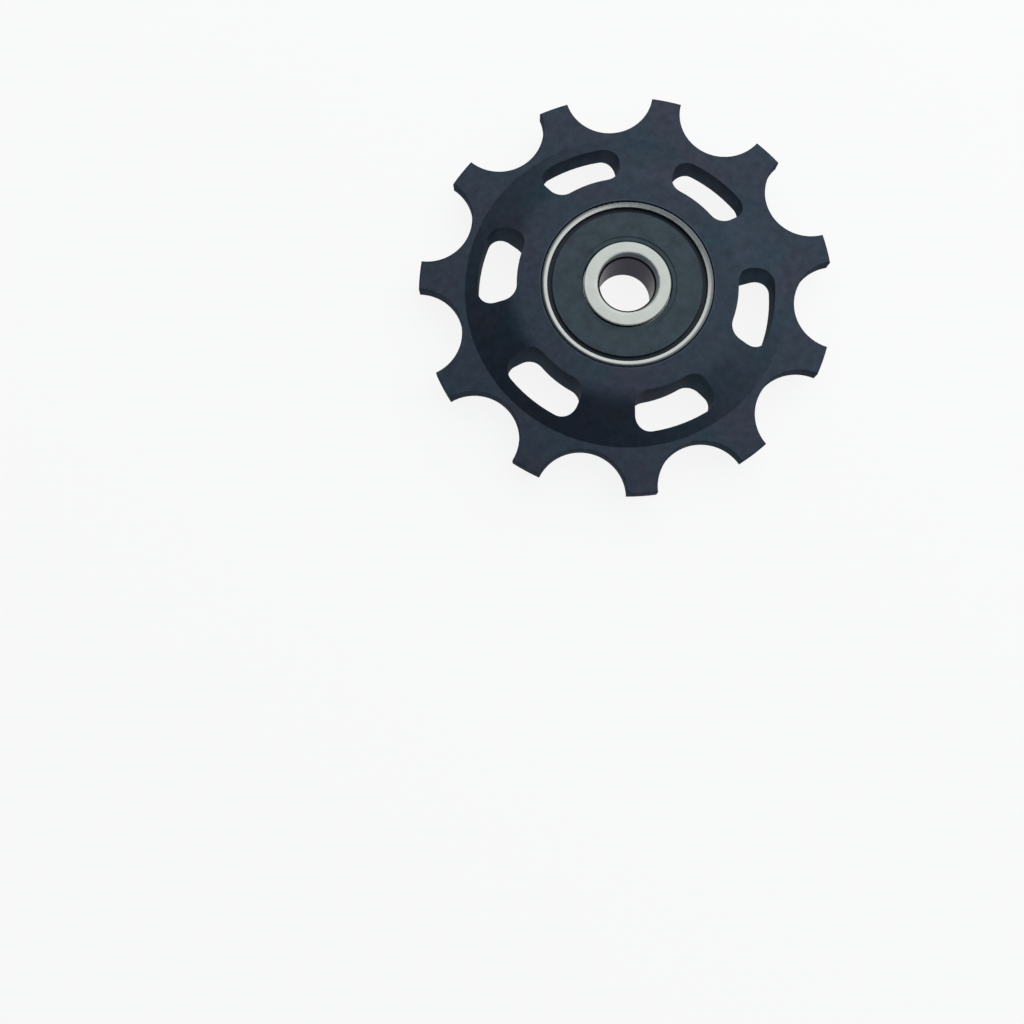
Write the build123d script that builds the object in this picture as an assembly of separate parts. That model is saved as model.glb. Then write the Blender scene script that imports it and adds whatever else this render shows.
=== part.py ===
from build123d import *
import math
import os

# Derailleur jockey wheel: a toothed aluminium wheel turning on a sealed ball bearing.
# Millimetres. The wheel lies flat, its axis is Z, and the origin is the centre of the axle bore.

# Chain that the wheel carries
chain_pitch = 12.7
roller_diameter = 7.75

# Toothed wheel
tooth_count = 11
tooth_height = 4.34          # from the root of a gap to the tooth tip
tooth_thickness = 1.8
gap_radius = 5.0             # one round cut makes the root and both flanks of a gap
tooth_edge_break = 0.12
rim_land = 0.8               # flat left between the gap roots and the foot of the cone
boss_wall = 3.4              # from the bearing seat to the corner of boss face and cone
shoulder_radius = 5.0        # rounding of that corner
seat_chamfer = 0.05          # edge break at both mouths of the bearing seat

# Lightening slots through the cone
slot_count = 6
slot_span = 35.0             # degrees
slot_bite = 0.8              # how far a slot reaches in past the boss corner
slot_rim = 1.45              # cone left between a slot and the foot of the cone
slot_corner_radius = 1.7
fullest_round = 0.48         # most that a corner radius may take of the slot's width

# Bearing envelope
bearing_bore = 6.0
bearing_outer_diameter = 19.0
bearing_width = 6.0
ring_corner_radius = 0.3
bore_corner_radius = 0.7
inner_face_chamfer = 0.1

# Balls and raceways
ball_count = 6
ball_diameter = 3.5
race_conformity = 0.52       # raceway radius as a share of the ball diameter
race_depth = 0.5
race_clearance = 0.01

# Ball cage, two halves of pressed sheet
cage_sheet = 0.25
cage_band = 1.6
cage_pocket_clearance = 0.04
tab_sheet = 0.2
tab_hook = 0.3               # how far a tab folds in over the other half
tab_angle = 8.0              # degrees of the cage ring

# Seals
seal_recess = 0.2            # seal face below the ring faces
seal_gap = 0.16              # air between cage and seal
seal_seat_rim = 0.72         # wall of the outer ring beside the seal
seal_mouth_share = 0.9       # share of that wall's flat top that slopes down to the seal
seal_mouth_drop = 0.1
seal_groove_depth = 0.12
seal_fit = 0.02
lip_clearance = 0.05
lip_lean = 0.12              # how far the lip's edge leans away from the inner ring
lip_land_step = 0.2          # inner ring land below its shoulder
lip_width = 0.56             # from the lip's edge to the step up to the seal face
lip_step_slope = 0.12        # how far that step leans
seal_margin_width = 0.56     # sunk margin round the edge of the seal face
seal_margin_slope = 0.1      # how far the step down to it leans

# Heights in a seal's section, as shares of its thickness from its back
bead_low_share = 0.12
bead_high_share = 0.30
margin_share = 0.35
lip_top_share = 0.86

# Sizes that follow
half_width = bearing_width / 2
half_tooth = tooth_thickness / 2
pitch_radius = chain_pitch / 2 / math.sin(math.pi / tooth_count)
root_radius = pitch_radius - roller_diameter / 2
tip_radius = root_radius + tooth_height
gap_centre_radius = root_radius + gap_radius
seat_radius = bearing_outer_diameter / 2
boss_corner_radius = seat_radius + boss_wall
cone_foot_radius = root_radius - rim_land
slot_inner_radius = boss_corner_radius - slot_bite
slot_outer_radius = cone_foot_radius - slot_rim

ball_radius = ball_diameter / 2
ball_pitch_radius = (bearing_bore + bearing_outer_diameter) / 4
race_radius = race_conformity * ball_diameter
inner_race_bottom = ball_pitch_radius - ball_radius - race_clearance
outer_race_bottom = ball_pitch_radius + ball_radius + race_clearance
inner_shoulder_radius = inner_race_bottom + race_depth
outer_shoulder_radius = outer_race_bottom - race_depth
lip_land_radius = inner_shoulder_radius - lip_land_step

pocket_radius = ball_radius + cage_pocket_clearance
cage_inner_radius = ball_pitch_radius - cage_band / 2
cage_outer_radius = ball_pitch_radius + cage_band / 2

seal_face = half_width - seal_recess
seal_back = pocket_radius + cage_sheet + seal_gap
seal_thickness = seal_face - seal_back
seal_seat_radius = seat_radius - seal_seat_rim
seal_mouth_radius = seal_seat_radius + seal_mouth_share * (seal_seat_rim - ring_corner_radius)
bead_low = seal_back + bead_low_share * seal_thickness
bead_high = seal_back + bead_high_share * seal_thickness


def section(upper):
    """Closed ring section, as (radius, height) points of its upper half, mirrored below the mid plane."""
    lower = [(r, -z) for r, z in reversed(upper)]
    return make_face(Polyline(*upper, *lower, close=True))


def spin(profile):
    """Turn a (radius, height) section about the wheel's axis."""
    return revolve(Plane.XZ * profile, Axis.Z)


def face_corners(profile, radius):
    """Corners of a section where its upper and lower faces end at one radius."""
    return [profile.vertices().sort_by_distance((radius, z))[0] for z in (half_width, -half_width)]


def from_axis(point):
    """Distance of a point from the wheel's axis."""
    return math.hypot(point.X, point.Y)


def around(count, radius=0.0, start=90.0):
    """Evenly spaced places round the axis, the first on +Y unless told otherwise."""
    return PolarLocations(radius, count, start_angle=start)


# Toothed wheel
def roller_gap():
    """Outline of one gap on the X axis: round at the root, open outwards."""
    mouth = Pos(gap_centre_radius + tip_radius / 2, 0) * Rectangle(tip_radius, 2 * gap_radius)
    return Pos(gap_centre_radius, 0) * Circle(gap_radius) + mouth


def kidney_slot():
    """Outline of one lightening slot on the X axis."""
    reach = 2 * slot_outer_radius
    half_angle = math.radians(slot_span / 2)
    side = reach * math.tan(half_angle)
    wedge = make_face(Polyline((0, 0), (reach, -side), (reach, side), close=True))
    band = (Circle(slot_outer_radius) - Circle(slot_inner_radius)) & wedge
    slot_width = slot_outer_radius - slot_inner_radius
    return fillet(band.vertices(), min(slot_corner_radius, fullest_round * slot_width))


def pulley_wheel():
    profile = section([
        (seat_radius, half_width - seat_chamfer),
        (seat_radius + seat_chamfer, half_width),
        (boss_corner_radius, half_width),
        (cone_foot_radius, half_tooth),
        (tip_radius, half_tooth),
    ])
    profile = fillet(face_corners(profile, boss_corner_radius), shoulder_radius)
    wheel = spin(profile)
    gap = extrude(roller_gap(), half_width, both=True)
    slot = extrude(kidney_slot(), half_width, both=True)
    wheel -= [place * gap for place in around(tooth_count, start=90 + 180 / tooth_count)]
    wheel -= [place * slot for place in around(slot_count)]
    outline = [
        edge for edge in wheel.edges()
        if abs(edge.center().Z) > half_tooth / 2
        and from_axis(edge @ 0.5) > root_radius - rim_land / 2
    ]
    return chamfer(outline, tooth_edge_break)


# Bearing rings
def bearing_outer_ring():
    profile = section([
        (seat_radius, half_width),
        (seal_mouth_radius, half_width),
        (seal_seat_radius, half_width - seal_mouth_drop),
        (seal_seat_radius, bead_high),
        (seal_seat_radius + seal_groove_depth, bead_high),
        (seal_seat_radius + seal_groove_depth, bead_low),
        (seal_seat_radius, bead_low),
        (seal_seat_radius, seal_back),
        (outer_shoulder_radius, seal_back),
    ])
    profile = fillet(face_corners(profile, seat_radius), ring_corner_radius)
    profile -= Pos(outer_race_bottom - race_radius, 0) * Circle(race_radius)
    return spin(profile)


def bearing_inner_ring():
    shoulder_end = seal_back - lip_clearance
    profile = section([
        (bearing_bore / 2, half_width),
        (lip_land_radius - inner_face_chamfer, half_width),
        (lip_land_radius, half_width - inner_face_chamfer),
        (lip_land_radius, shoulder_end),
        (inner_shoulder_radius, shoulder_end),
    ])
    profile = fillet(face_corners(profile, bearing_bore / 2), bore_corner_radius)
    profile -= Pos(inner_race_bottom + race_radius, 0) * Circle(race_radius)
    return spin(profile)


# Balls and their cage
def bearing_ball(place):
    return place * Sphere(ball_radius)


def band(low, high):
    """Ring that holds the cage sheet, between two heights."""
    tube = Circle(cage_outer_radius) - Circle(cage_inner_radius)
    return Pos(0, 0, low) * extrude(tube, high - low)


def cage_half():
    """Upper cage half: a flat ring that domes over each ball."""
    dome_height = pocket_radius + cage_sheet
    sheet = band(0, cage_sheet)
    sheet += [band(0, dome_height) & place * Sphere(dome_height) for place in ball_places]
    return sheet - [place * Sphere(pocket_radius) for place in ball_places]


def cage_tabs():
    """Tabs on the lower half, folded up and in over the flats of the upper half."""
    top = cage_sheet + tab_sheet
    outer = cage_outer_radius + tab_sheet
    inner = cage_outer_radius - tab_hook
    hook = make_face(Polyline(
        (cage_outer_radius, -cage_sheet),
        (outer, -cage_sheet),
        (outer, top),
        (inner, top),
        (inner, cage_sheet),
        (cage_outer_radius, cage_sheet),
        close=True,
    ))
    tab = Rot(0, 0, -tab_angle / 2) * revolve(Plane.XZ * hook, Axis.Z, tab_angle)
    first = 90 + 180 / ball_count
    return [place * tab for place in around(ball_count, start=first)]


# Seals
def seal():
    """Upper seal: a rubber disc with a bead in the outer ring and a thin lip round the inner ring."""
    edge = lip_land_radius + lip_clearance
    step = edge + lip_width
    seat = seal_seat_radius - seal_fit
    lip_top = seal_back + lip_top_share * seal_thickness
    margin = seal_back + margin_share * seal_thickness
    profile = make_face(Polyline(
        (edge, seal_back),
        (edge + lip_lean, lip_top),
        (step - lip_step_slope / 2, lip_top),
        (step + lip_step_slope / 2, seal_face),
        (seat - seal_margin_width, seal_face),
        (seat - seal_margin_width + seal_margin_slope, margin),
        (seat, margin),
        (seat, bead_high - seal_fit),
        (seat + seal_groove_depth, bead_high - seal_fit),
        (seat + seal_groove_depth, bead_low + seal_fit),
        (seat, bead_low + seal_fit),
        (seat, seal_back),
        close=True,
    ))
    return spin(profile)


ball_places = list(around(ball_count, ball_pitch_radius))
upper_half = cage_half()
upper_seal = seal()

nodes = {
    "pulley_wheel": pulley_wheel(),
    "bearing_outer_ring": bearing_outer_ring(),
    "bearing_inner_ring": bearing_inner_ring(),
    "cage_half_upper": upper_half,
    "cage_half_lower": mirror(upper_half, Plane.XY) + cage_tabs(),
    "seal_upper": upper_seal,
    "seal_lower": mirror(upper_seal, Plane.XY),
}
for number, place in enumerate(ball_places, start=1):
    nodes[f"bearing_ball_{number}"] = bearing_ball(place)

os.makedirs("parts", exist_ok=True)
for name, shape in nodes.items():
    export_step(shape, f"parts/{name}.step")
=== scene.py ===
import math
import bpy
from mathutils import Euler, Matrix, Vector


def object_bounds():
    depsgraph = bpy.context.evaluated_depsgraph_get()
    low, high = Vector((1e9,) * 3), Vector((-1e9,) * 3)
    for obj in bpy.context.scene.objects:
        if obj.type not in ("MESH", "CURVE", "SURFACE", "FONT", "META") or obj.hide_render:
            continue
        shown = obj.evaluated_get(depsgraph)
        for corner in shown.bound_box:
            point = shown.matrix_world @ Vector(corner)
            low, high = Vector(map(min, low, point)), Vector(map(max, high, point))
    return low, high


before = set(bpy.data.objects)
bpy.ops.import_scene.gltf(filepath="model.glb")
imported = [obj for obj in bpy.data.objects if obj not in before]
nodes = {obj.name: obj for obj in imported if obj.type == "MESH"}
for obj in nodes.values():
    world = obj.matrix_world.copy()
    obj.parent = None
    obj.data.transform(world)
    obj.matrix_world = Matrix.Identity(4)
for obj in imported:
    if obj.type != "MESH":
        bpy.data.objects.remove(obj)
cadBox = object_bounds()
print("frame loaded:", len(nodes), "nodes")

mixShare, mixFirst, mixSecond = 0, 6, 7  # a Mix node's inputs when it mixes colours
mixResult = 2  # and its output
waveAtOne = 2 * math.pi / 20  # metres between the rings of a wave texture at scale 1


def hexColour(code):  # sRGB hex to linear
    channels = [int(code[k:k + 2], 16) / 255 for k in (1, 3, 5)]
    linear = [c / 12.92 if c <= 0.04045 else ((c + 0.055) / 1.055) ** 2.4 for c in channels]
    return (*linear, 1.0)


def addNode(tree, kind, options=None, sockets=None, links=None):
    node = tree.nodes.new(kind)
    for name, value in (options or {}).items():
        setattr(node, name, value)
    for name, value in (sockets or {}).items():
        node.inputs[name].default_value = value
    for name, source in (links or {}).items():
        tree.links.new(source, node.inputs[name])
    return node


def newMaterial(name):
    material = bpy.data.materials.new(name)
    material.use_nodes = True
    tree = material.node_tree
    tree.nodes.clear()
    return material, tree, addNode(tree, "ShaderNodeTexCoord").outputs["Object"]


def finishMaterial(tree, sockets, links):
    surface = addNode(tree, "ShaderNodeBsdfPrincipled", sockets=sockets, links=links)
    addNode(tree, "ShaderNodeOutputMaterial", links={"Surface": surface.outputs["BSDF"]})


def grainScale(millimetres):  # noise features of about this size
    return 1000 / millimetres


def ringScale(millimetres):  # wave rings this far apart
    return waveAtOne / (millimetres / 1000)


def pastRadius(tree, place, reachMm):  # 0 nearer the wheel's axis than the first radius, 1 past the second
    flat = addNode(tree, "ShaderNodeVectorMath", {"operation": "MULTIPLY"}, {1: (1, 1, 0)}, {0: place})
    fromAxis = addNode(tree, "ShaderNodeVectorMath", {"operation": "LENGTH"}, links={0: flat.outputs[0]})
    near, far = [radius / 1000 for radius in reachMm]
    ramp = addNode(tree, "ShaderNodeMapRange", sockets={"From Min": near, "From Max": far},
                   links={"Value": fromAxis.outputs["Value"]})
    return ramp.outputs["Result"]


def blotches(tree, place, millimetres, most):  # 0 to most, in soft uneven patches of about this size
    begins, isFull = 0.35, 0.65  # noise levels where a patch begins and is full
    noise = addNode(tree, "ShaderNodeTexNoise",
                    sockets={"Scale": grainScale(millimetres), "Detail": 4, "Roughness": 0.65},
                    links={"Vector": place})
    patch = addNode(tree, "ShaderNodeMapRange",
                    sockets={"From Min": begins, "From Max": isFull, "To Min": 0.0, "To Max": most},
                    links={"Value": noise.outputs["Fac"]})
    return patch.outputs["Result"]


def dress(nodeNames, material):
    for name in nodeNames:
        mesh = nodes[name].data
        mesh.materials.clear()
        mesh.materials.append(material)


# Black anodised aluminium, turned and milled: dark slate, satin, the dye a little uneven,
# with fine turning rings and a matt grain
anodised = {
    "colour": "#304851",
    "driftColour": "#46404c",  # the dye drifts between a cool and a warm slate
    "cloudMm": 5.0,
    "stainColour": "#161c22",
    "stainShare": 0.28,  # most that the dye darkens in a blotch
    "stainMm": 1.0,
    "paintedGrooveLightColour": "#505a65",
    "paintedGrooveLightReachMm": (9.54, 9.64),  # painted light: inside this radius the seat's mouth, shaded in the groove beside the bearing, is painted lighter
    "edgeTint": 0.38,  # share of the edge shine that the dye lets through
    "roughness": (0.48, 0.58),
    "grainMm": 0.22,  # the etch is finer than this, drawn coarse enough to show
    "grainDepth": 0.000005,
    "turningMm": 0.24,  # feed marks are nearer 0.1 mm, drawn coarse enough to show
    "turningDepth": 0.000003,
}


def anodisedAluminium():
    look = anodised
    material, tree, place = newMaterial("blackAnodisedAluminium")
    cloud = addNode(tree, "ShaderNodeTexNoise", sockets={"Scale": grainScale(look["cloudMm"]), "Detail": 3},
                    links={"Vector": place})
    grain = addNode(tree, "ShaderNodeTexNoise", sockets={"Scale": grainScale(look["grainMm"]), "Detail": 2},
                    links={"Vector": place})
    rings = addNode(tree, "ShaderNodeTexWave", {"wave_type": "RINGS", "rings_direction": "Z"},
                    {"Scale": ringScale(look["turningMm"]), "Distortion": 1.0, "Detail": 2},
                    {"Vector": place})
    dyed = addNode(tree, "ShaderNodeMix", {"data_type": "RGBA"},
                   {mixFirst: hexColour(look["driftColour"]), mixSecond: hexColour(look["colour"])},
                   {mixShare: cloud.outputs["Fac"]})
    stain = blotches(tree, place, look["stainMm"], look["stainShare"])
    stained = addNode(tree, "ShaderNodeMix", {"data_type": "RGBA"},
                      {mixSecond: hexColour(look["stainColour"])},
                      {mixShare: stain, mixFirst: dyed.outputs[mixResult]})
    # painted light: the colour is lifted inside the seat's edge to offset the shade of the groove
    shade = addNode(tree, "ShaderNodeMix", {"data_type": "RGBA"},
                    {mixFirst: hexColour(look["paintedGrooveLightColour"])},
                    {mixShare: pastRadius(tree, place, look["paintedGrooveLightReachMm"]),
                     mixSecond: stained.outputs[mixResult]})
    smooth, rough = look["roughness"]
    gloss = addNode(tree, "ShaderNodeMapRange", sockets={"To Min": smooth, "To Max": rough},
                    links={"Value": grain.outputs["Fac"]})
    turned = addNode(tree, "ShaderNodeBump", sockets={"Strength": 1.0, "Distance": look["turningDepth"]},
                     links={"Height": rings.outputs["Fac"]})
    etched = addNode(tree, "ShaderNodeBump", sockets={"Strength": 1.0, "Distance": look["grainDepth"]},
                     links={"Height": grain.outputs["Fac"], "Normal": turned.outputs["Normal"]})
    finishMaterial(tree, {"Metallic": 1.0, "Specular Tint": (*[look["edgeTint"]] * 3, 1.0)},
                   {"Base Color": shade.outputs[mixResult], "Roughness": gloss.outputs["Result"],
                    "Normal": etched.outputs["Normal"]})
    return material


# Ground bearing steel: bright faces with fine grinding rings, painted shade in the bore and darker outer
# corners
ground = {
    "colour": "#b0b4ad",
    "dullColour": "#a7aaa3",
    "smearMm": 1.5,
    "paintedBoreShadeColour": "#35323e",
    "paintedBoreShadeTint": 0.6,  # painted shade: share of the edge shine left in the bore, which dims its reflection
    "paintedBoreShadeReachMm": (3.10, 3.38),  # bore wall to half way round its mouth
    "cornerColour": "#606265",
    "cornerReachMm": (9.04, 9.20),  # end of the ground face to the outer corner, which is drawn darker
    "roughness": (0.26, 0.32),
    "grindMm": 0.12,
    "grindDepth": 0.000001,
}


def groundSteel():
    look = ground
    material, tree, place = newMaterial("groundBearingSteel")
    smear = blotches(tree, place, look["smearMm"], 1.0)
    rings = addNode(tree, "ShaderNodeTexWave", {"wave_type": "RINGS", "rings_direction": "Z"},
                    {"Scale": ringScale(look["grindMm"]), "Distortion": 2.0, "Detail": 2},
                    {"Vector": place})
    face = addNode(tree, "ShaderNodeMix", {"data_type": "RGBA"},
                   {mixFirst: hexColour(look["dullColour"]), mixSecond: hexColour(look["colour"])},
                   {mixShare: smear})
    # painted shade: the bore wall and half its mouth are painted dark and their edge shine dimmed
    outside = pastRadius(tree, place, look["paintedBoreShadeReachMm"])
    bored = addNode(tree, "ShaderNodeMix", {"data_type": "RGBA"},
                    {mixFirst: hexColour(look["paintedBoreShadeColour"])},
                    {mixShare: outside, mixSecond: face.outputs[mixResult]})
    # the ring's outer corner is drawn darker than its ground face
    shade = addNode(tree, "ShaderNodeMix", {"data_type": "RGBA"},
                    {mixSecond: hexColour(look["cornerColour"])},
                    {mixShare: pastRadius(tree, place, look["cornerReachMm"]),
                     mixFirst: bored.outputs[mixResult]})
    edge = addNode(tree, "ShaderNodeMapRange", sockets={"To Min": look["paintedBoreShadeTint"], "To Max": 1.0},
                   links={"Value": outside})
    smooth, rough = look["roughness"]
    gloss = addNode(tree, "ShaderNodeMapRange", sockets={"To Min": smooth, "To Max": rough},
                    links={"Value": smear})
    scratched = addNode(tree, "ShaderNodeBump", sockets={"Strength": 1.0, "Distance": look["grindDepth"]},
                        links={"Height": rings.outputs["Fac"]})
    finishMaterial(tree, {"Metallic": 1.0},
                   {"Base Color": shade.outputs[mixResult], "Roughness": gloss.outputs["Result"],
                    "Specular Tint": edge.outputs["Result"], "Normal": scratched.outputs["Normal"]})
    return material


# Lapped ball steel: close to a mirror, with hair scratches from running
lapped = {
    "colour": "#d6d7d8",
    "dullColour": "#c9cacb",
    "roughness": (0.05, 0.12),
    "scratchMm": 0.3,
    "scratchDepth": 0.0000005,
}


def ballSteel():
    look = lapped
    material, tree, place = newMaterial("lappedBallSteel")
    scratch = addNode(tree, "ShaderNodeTexNoise",
                      sockets={"Scale": grainScale(look["scratchMm"]), "Detail": 4, "Distortion": 2.0},
                      links={"Vector": place})
    shade = addNode(tree, "ShaderNodeMix", {"data_type": "RGBA"},
                    {mixFirst: hexColour(look["dullColour"]), mixSecond: hexColour(look["colour"])},
                    {mixShare: scratch.outputs["Fac"]})
    smooth, rough = look["roughness"]
    gloss = addNode(tree, "ShaderNodeMapRange", sockets={"To Min": smooth, "To Max": rough},
                    links={"Value": scratch.outputs["Fac"]})
    run = addNode(tree, "ShaderNodeBump", sockets={"Strength": 1.0, "Distance": look["scratchDepth"]},
                  links={"Height": scratch.outputs["Fac"]})
    finishMaterial(tree, {"Metallic": 1.0},
                   {"Base Color": shade.outputs[mixResult], "Roughness": gloss.outputs["Result"],
                    "Normal": run.outputs["Normal"]})
    return material


# Cold rolled sheet steel, pressed: grey, half dull, with the streaks of the rolling mill
pressed = {
    "colour": "#b4b3b0",
    "streakColour": "#9d9c99",
    "roughness": (0.28, 0.42),
    "streakMm": (0.12, 3.0),  # across and along the rolling
    "streakDepth": 0.000001,
}


def cageSteel():
    look = pressed
    material, tree, place = newMaterial("pressedSheetSteel")
    across, along = [grainScale(size) for size in look["streakMm"]]
    stretched = addNode(tree, "ShaderNodeMapping", sockets={"Scale": (along, across, across)},
                        links={"Vector": place})
    streak = addNode(tree, "ShaderNodeTexNoise", sockets={"Scale": 1.0, "Detail": 3},
                     links={"Vector": stretched.outputs["Vector"]})
    shade = addNode(tree, "ShaderNodeMix", {"data_type": "RGBA"},
                    {mixFirst: hexColour(look["streakColour"]), mixSecond: hexColour(look["colour"])},
                    {mixShare: streak.outputs["Fac"]})
    smooth, rough = look["roughness"]
    gloss = addNode(tree, "ShaderNodeMapRange", sockets={"To Min": smooth, "To Max": rough},
                    links={"Value": streak.outputs["Fac"]})
    rolled = addNode(tree, "ShaderNodeBump", sockets={"Strength": 1.0, "Distance": look["streakDepth"]},
                     links={"Height": streak.outputs["Fac"]})
    finishMaterial(tree, {"Metallic": 1.0},
                   {"Base Color": shade.outputs[mixResult], "Roughness": gloss.outputs["Result"],
                    "Normal": rolled.outputs["Normal"]})
    return material


# Nitrile rubber moulded on a steel disc: charcoal with a cool cast, dull, with a faint moulded grain
rubber = {
    "colour": "#394b53",
    "deepColour": "#2b3940",
    "cloudMm": 1.5,
    "paintedGapShadeColour": "#1f2731",
    "paintedGapShadeReachMm": (8.18, 8.30),  # painted shade: the sunk margin beside the outer ring is painted dark from where it begins
    "roughness": (0.5, 0.62),
    "grainMm": 0.2,
    "grainDepth": 0.000004,
    "ior": 1.52,
    "shineShare": 0.3,  # dust leaves this much of the rubber's shine, where 0.5 is all of it
}


def sealRubber():
    look = rubber
    material, tree, place = newMaterial("mouldedNitrileRubber")
    grain = addNode(tree, "ShaderNodeTexNoise", sockets={"Scale": grainScale(look["grainMm"]), "Detail": 2},
                    links={"Vector": place})
    clean = addNode(tree, "ShaderNodeMix", {"data_type": "RGBA"},
                    {mixFirst: hexColour(look["deepColour"]), mixSecond: hexColour(look["colour"])},
                    {mixShare: blotches(tree, place, look["cloudMm"], 1.0)})
    # painted shade: the sunk gap at the seal's edge is painted dark
    shade = addNode(tree, "ShaderNodeMix", {"data_type": "RGBA"},
                    {mixSecond: hexColour(look["paintedGapShadeColour"])},
                    {mixShare: pastRadius(tree, place, look["paintedGapShadeReachMm"]),
                     mixFirst: clean.outputs[mixResult]})
    smooth, rough = look["roughness"]
    gloss = addNode(tree, "ShaderNodeMapRange", sockets={"To Min": smooth, "To Max": rough},
                    links={"Value": grain.outputs["Fac"]})
    moulded = addNode(tree, "ShaderNodeBump", sockets={"Strength": 1.0, "Distance": look["grainDepth"]},
                      links={"Height": grain.outputs["Fac"]})
    finishMaterial(tree, {"Metallic": 0.0, "IOR": look["ior"], "Specular IOR Level": look["shineShare"]},
                   {"Base Color": shade.outputs[mixResult], "Roughness": gloss.outputs["Result"],
                    "Normal": moulded.outputs["Normal"]})
    return material


dress(["pulley_wheel"], anodisedAluminium())
dress(["bearing_outer_ring", "bearing_inner_ring"], groundSteel())
dress([name for name in nodes if name.startswith("bearing_ball")], ballSteel())
dress([name for name in nodes if name.startswith("cage_half")], cageSteel())
dress([name for name in nodes if name.startswith("seal")], sealRubber())
print("materials on", len(nodes), "nodes")

# Pale floor, white round the wheel and turned up at its edge into a low wall
floorLook = {
    "colour": "#f6f6f6",
    "whiteShare": 0.88,  # of plain white near the wheel, where its shadow still shows
    "wallShare": 0.4,  # of plain white on the wall
    "whiteReach": (0.16, 0.45),  # metres from the wheel where the one fades into the other
    "flatRadius": 0.5,
    "wallRadius": 0.75,
    "wallHeight": 0.42,
    "sweepSteps": 10,
    "sides": 96,
}


def floorPaint():
    look = floorLook
    material, tree, place = newMaterial("paleStudioFloor")
    path = addNode(tree, "ShaderNodeLightPath")
    seen = path.outputs["Is Camera Ray"]
    for ray in ("Is Glossy Ray", "Is Transmission Ray"):
        seen = addNode(tree, "ShaderNodeMath", {"operation": "MAXIMUM"},
                       links={0: seen, 1: path.outputs[ray]}).outputs[0]
    away = addNode(tree, "ShaderNodeVectorMath", {"operation": "LENGTH"}, links={0: place})
    near, far = look["whiteReach"]
    fade = addNode(tree, "ShaderNodeMapRange", {"interpolation_type": "SMOOTHSTEP"},
                   {"From Min": near, "From Max": far,
                    "To Min": look["whiteShare"], "To Max": look["wallShare"]},
                   {"Value": away.outputs["Value"]})
    share = addNode(tree, "ShaderNodeMath", {"operation": "MULTIPLY"},
                    links={0: seen, 1: fade.outputs["Result"]})
    paint = addNode(tree, "ShaderNodeBsdfDiffuse", sockets={"Color": hexColour(look["colour"])})
    white = addNode(tree, "ShaderNodeEmission", sockets={"Color": hexColour("#ffffff"), "Strength": 1.0})
    both = addNode(tree, "ShaderNodeMixShader",
                   links={0: share.outputs[0], 1: paint.outputs[0], 2: white.outputs[0]})
    addNode(tree, "ShaderNodeOutputMaterial", links={"Surface": both.outputs[0]})
    return material


def studioFloor():
    look = floorLook
    low = cadBox[0].z
    bpy.ops.object.select_all(action="DESELECT")
    bpy.ops.mesh.primitive_circle_add(vertices=look["sides"], radius=look["flatRadius"],
                                      fill_type="NGON", location=(0, 0, low))
    floor = bpy.context.object
    floor.name = "studioFloor"
    bpy.ops.object.mode_set(mode="EDIT")
    bpy.ops.mesh.select_mode(type="EDGE")
    bpy.ops.mesh.select_all(action="SELECT")
    bpy.ops.mesh.region_to_loop()
    sweep = look["wallRadius"] - look["flatRadius"]
    radius = look["flatRadius"]
    height = 0.0
    for step in range(1, look["sweepSteps"] + 1):  # a quarter round from floor to wall
        angle = math.pi / 2 * step / look["sweepSteps"]
        nextRadius = look["flatRadius"] + sweep * math.sin(angle)
        nextHeight = sweep * (1 - math.cos(angle))
        bpy.ops.mesh.extrude_region_move(TRANSFORM_OT_translate={"value": (0, 0, nextHeight - height)})
        grow = nextRadius / radius
        bpy.ops.transform.resize(value=(grow, grow, 1), center_override=(0, 0, low))
        radius = nextRadius
        height = nextHeight
    rest = look["wallHeight"] - height
    bpy.ops.mesh.extrude_region_move(TRANSFORM_OT_translate={"value": (0, 0, rest)})
    bpy.ops.mesh.select_all(action="SELECT")
    bpy.ops.mesh.normals_make_consistent(inside=True)
    bpy.ops.object.mode_set(mode="OBJECT")
    bpy.ops.object.shade_smooth()
    floor.data.materials.append(floorPaint())


studioFloor()
print("floor laid at", round(cadBox[0].z * 1000, 2), "mm")

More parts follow.
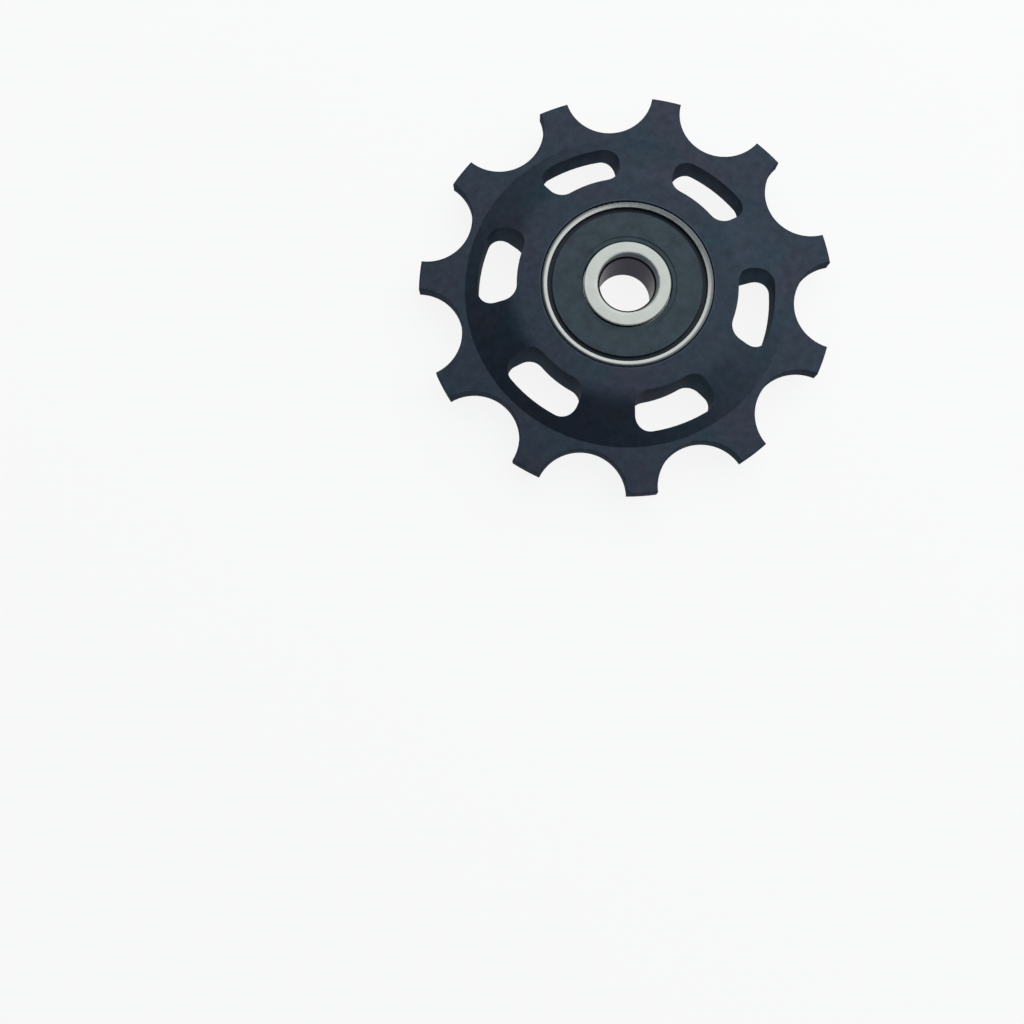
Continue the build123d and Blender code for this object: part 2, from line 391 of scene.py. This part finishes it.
# One large soft box to one side of the wheel, and a dim room
studio = {
    "boxTilt": 41,  # degrees from straight overhead
    "boxHeading": 32,  # degrees round from +X
    "boxDistance": 0.30,
    "boxSize": (0.62, 0.46),  # across and up
    "boxWatts": 1.17,
    "roomColour": "#cbdfff",
    "roomStrength": 0.21,
}


def studioLight():
    tilt = math.radians(studio["boxTilt"])
    heading = math.radians(studio["boxHeading"])
    lamp = bpy.data.lights.new("softBox", "AREA")
    lamp.shape = "RECTANGLE"
    lamp.size, lamp.size_y = studio["boxSize"]
    lamp.energy = studio["boxWatts"]
    box = bpy.data.objects.new("softBox", lamp)
    bpy.context.scene.collection.objects.link(box)
    away = Vector((math.sin(tilt) * math.cos(heading), math.sin(tilt) * math.sin(heading), math.cos(tilt)))
    box.location = away * studio["boxDistance"]
    box.rotation_euler = away.to_track_quat("Z", "Y").to_euler()
    box.visible_camera = False
    world = bpy.data.worlds.new("dimRoom")
    world.use_nodes = True
    world.node_tree.nodes.clear()
    room = addNode(world.node_tree, "ShaderNodeBackground",
                   sockets={"Color": hexColour(studio["roomColour"]), "Strength": studio["roomStrength"]})
    addNode(world.node_tree, "ShaderNodeOutputWorld", links={"Surface": room.outputs[0]})
    bpy.context.scene.world = world


studioLight()
print("light set")

# Camera where the photograph was taken: over the near side of the wheel, looking down
photoCamera = {
    "placeMm": (-24.82, -34.38, 110.78),
    "turnDegrees": (8.231, 0.580, -20.071),
    "lensMm": 36.25,
    "sensorMm": 36,
    "nearestMm": 5,
}


def placeCamera():
    lens = bpy.data.cameras.new("photoCamera")
    lens.lens = photoCamera["lensMm"]
    lens.sensor_width = photoCamera["sensorMm"]
    lens.clip_start = photoCamera["nearestMm"] / 1000
    camera = bpy.data.objects.new("photoCamera", lens)
    bpy.context.scene.collection.objects.link(camera)
    camera.location = Vector(photoCamera["placeMm"]) / 1000
    camera.rotation_euler = Euler([math.radians(turn) for turn in photoCamera["turnDegrees"]])
    bpy.context.scene.camera = camera


placeCamera()
bpy.context.scene.view_settings.view_transform = "Standard"
print("camera placed")
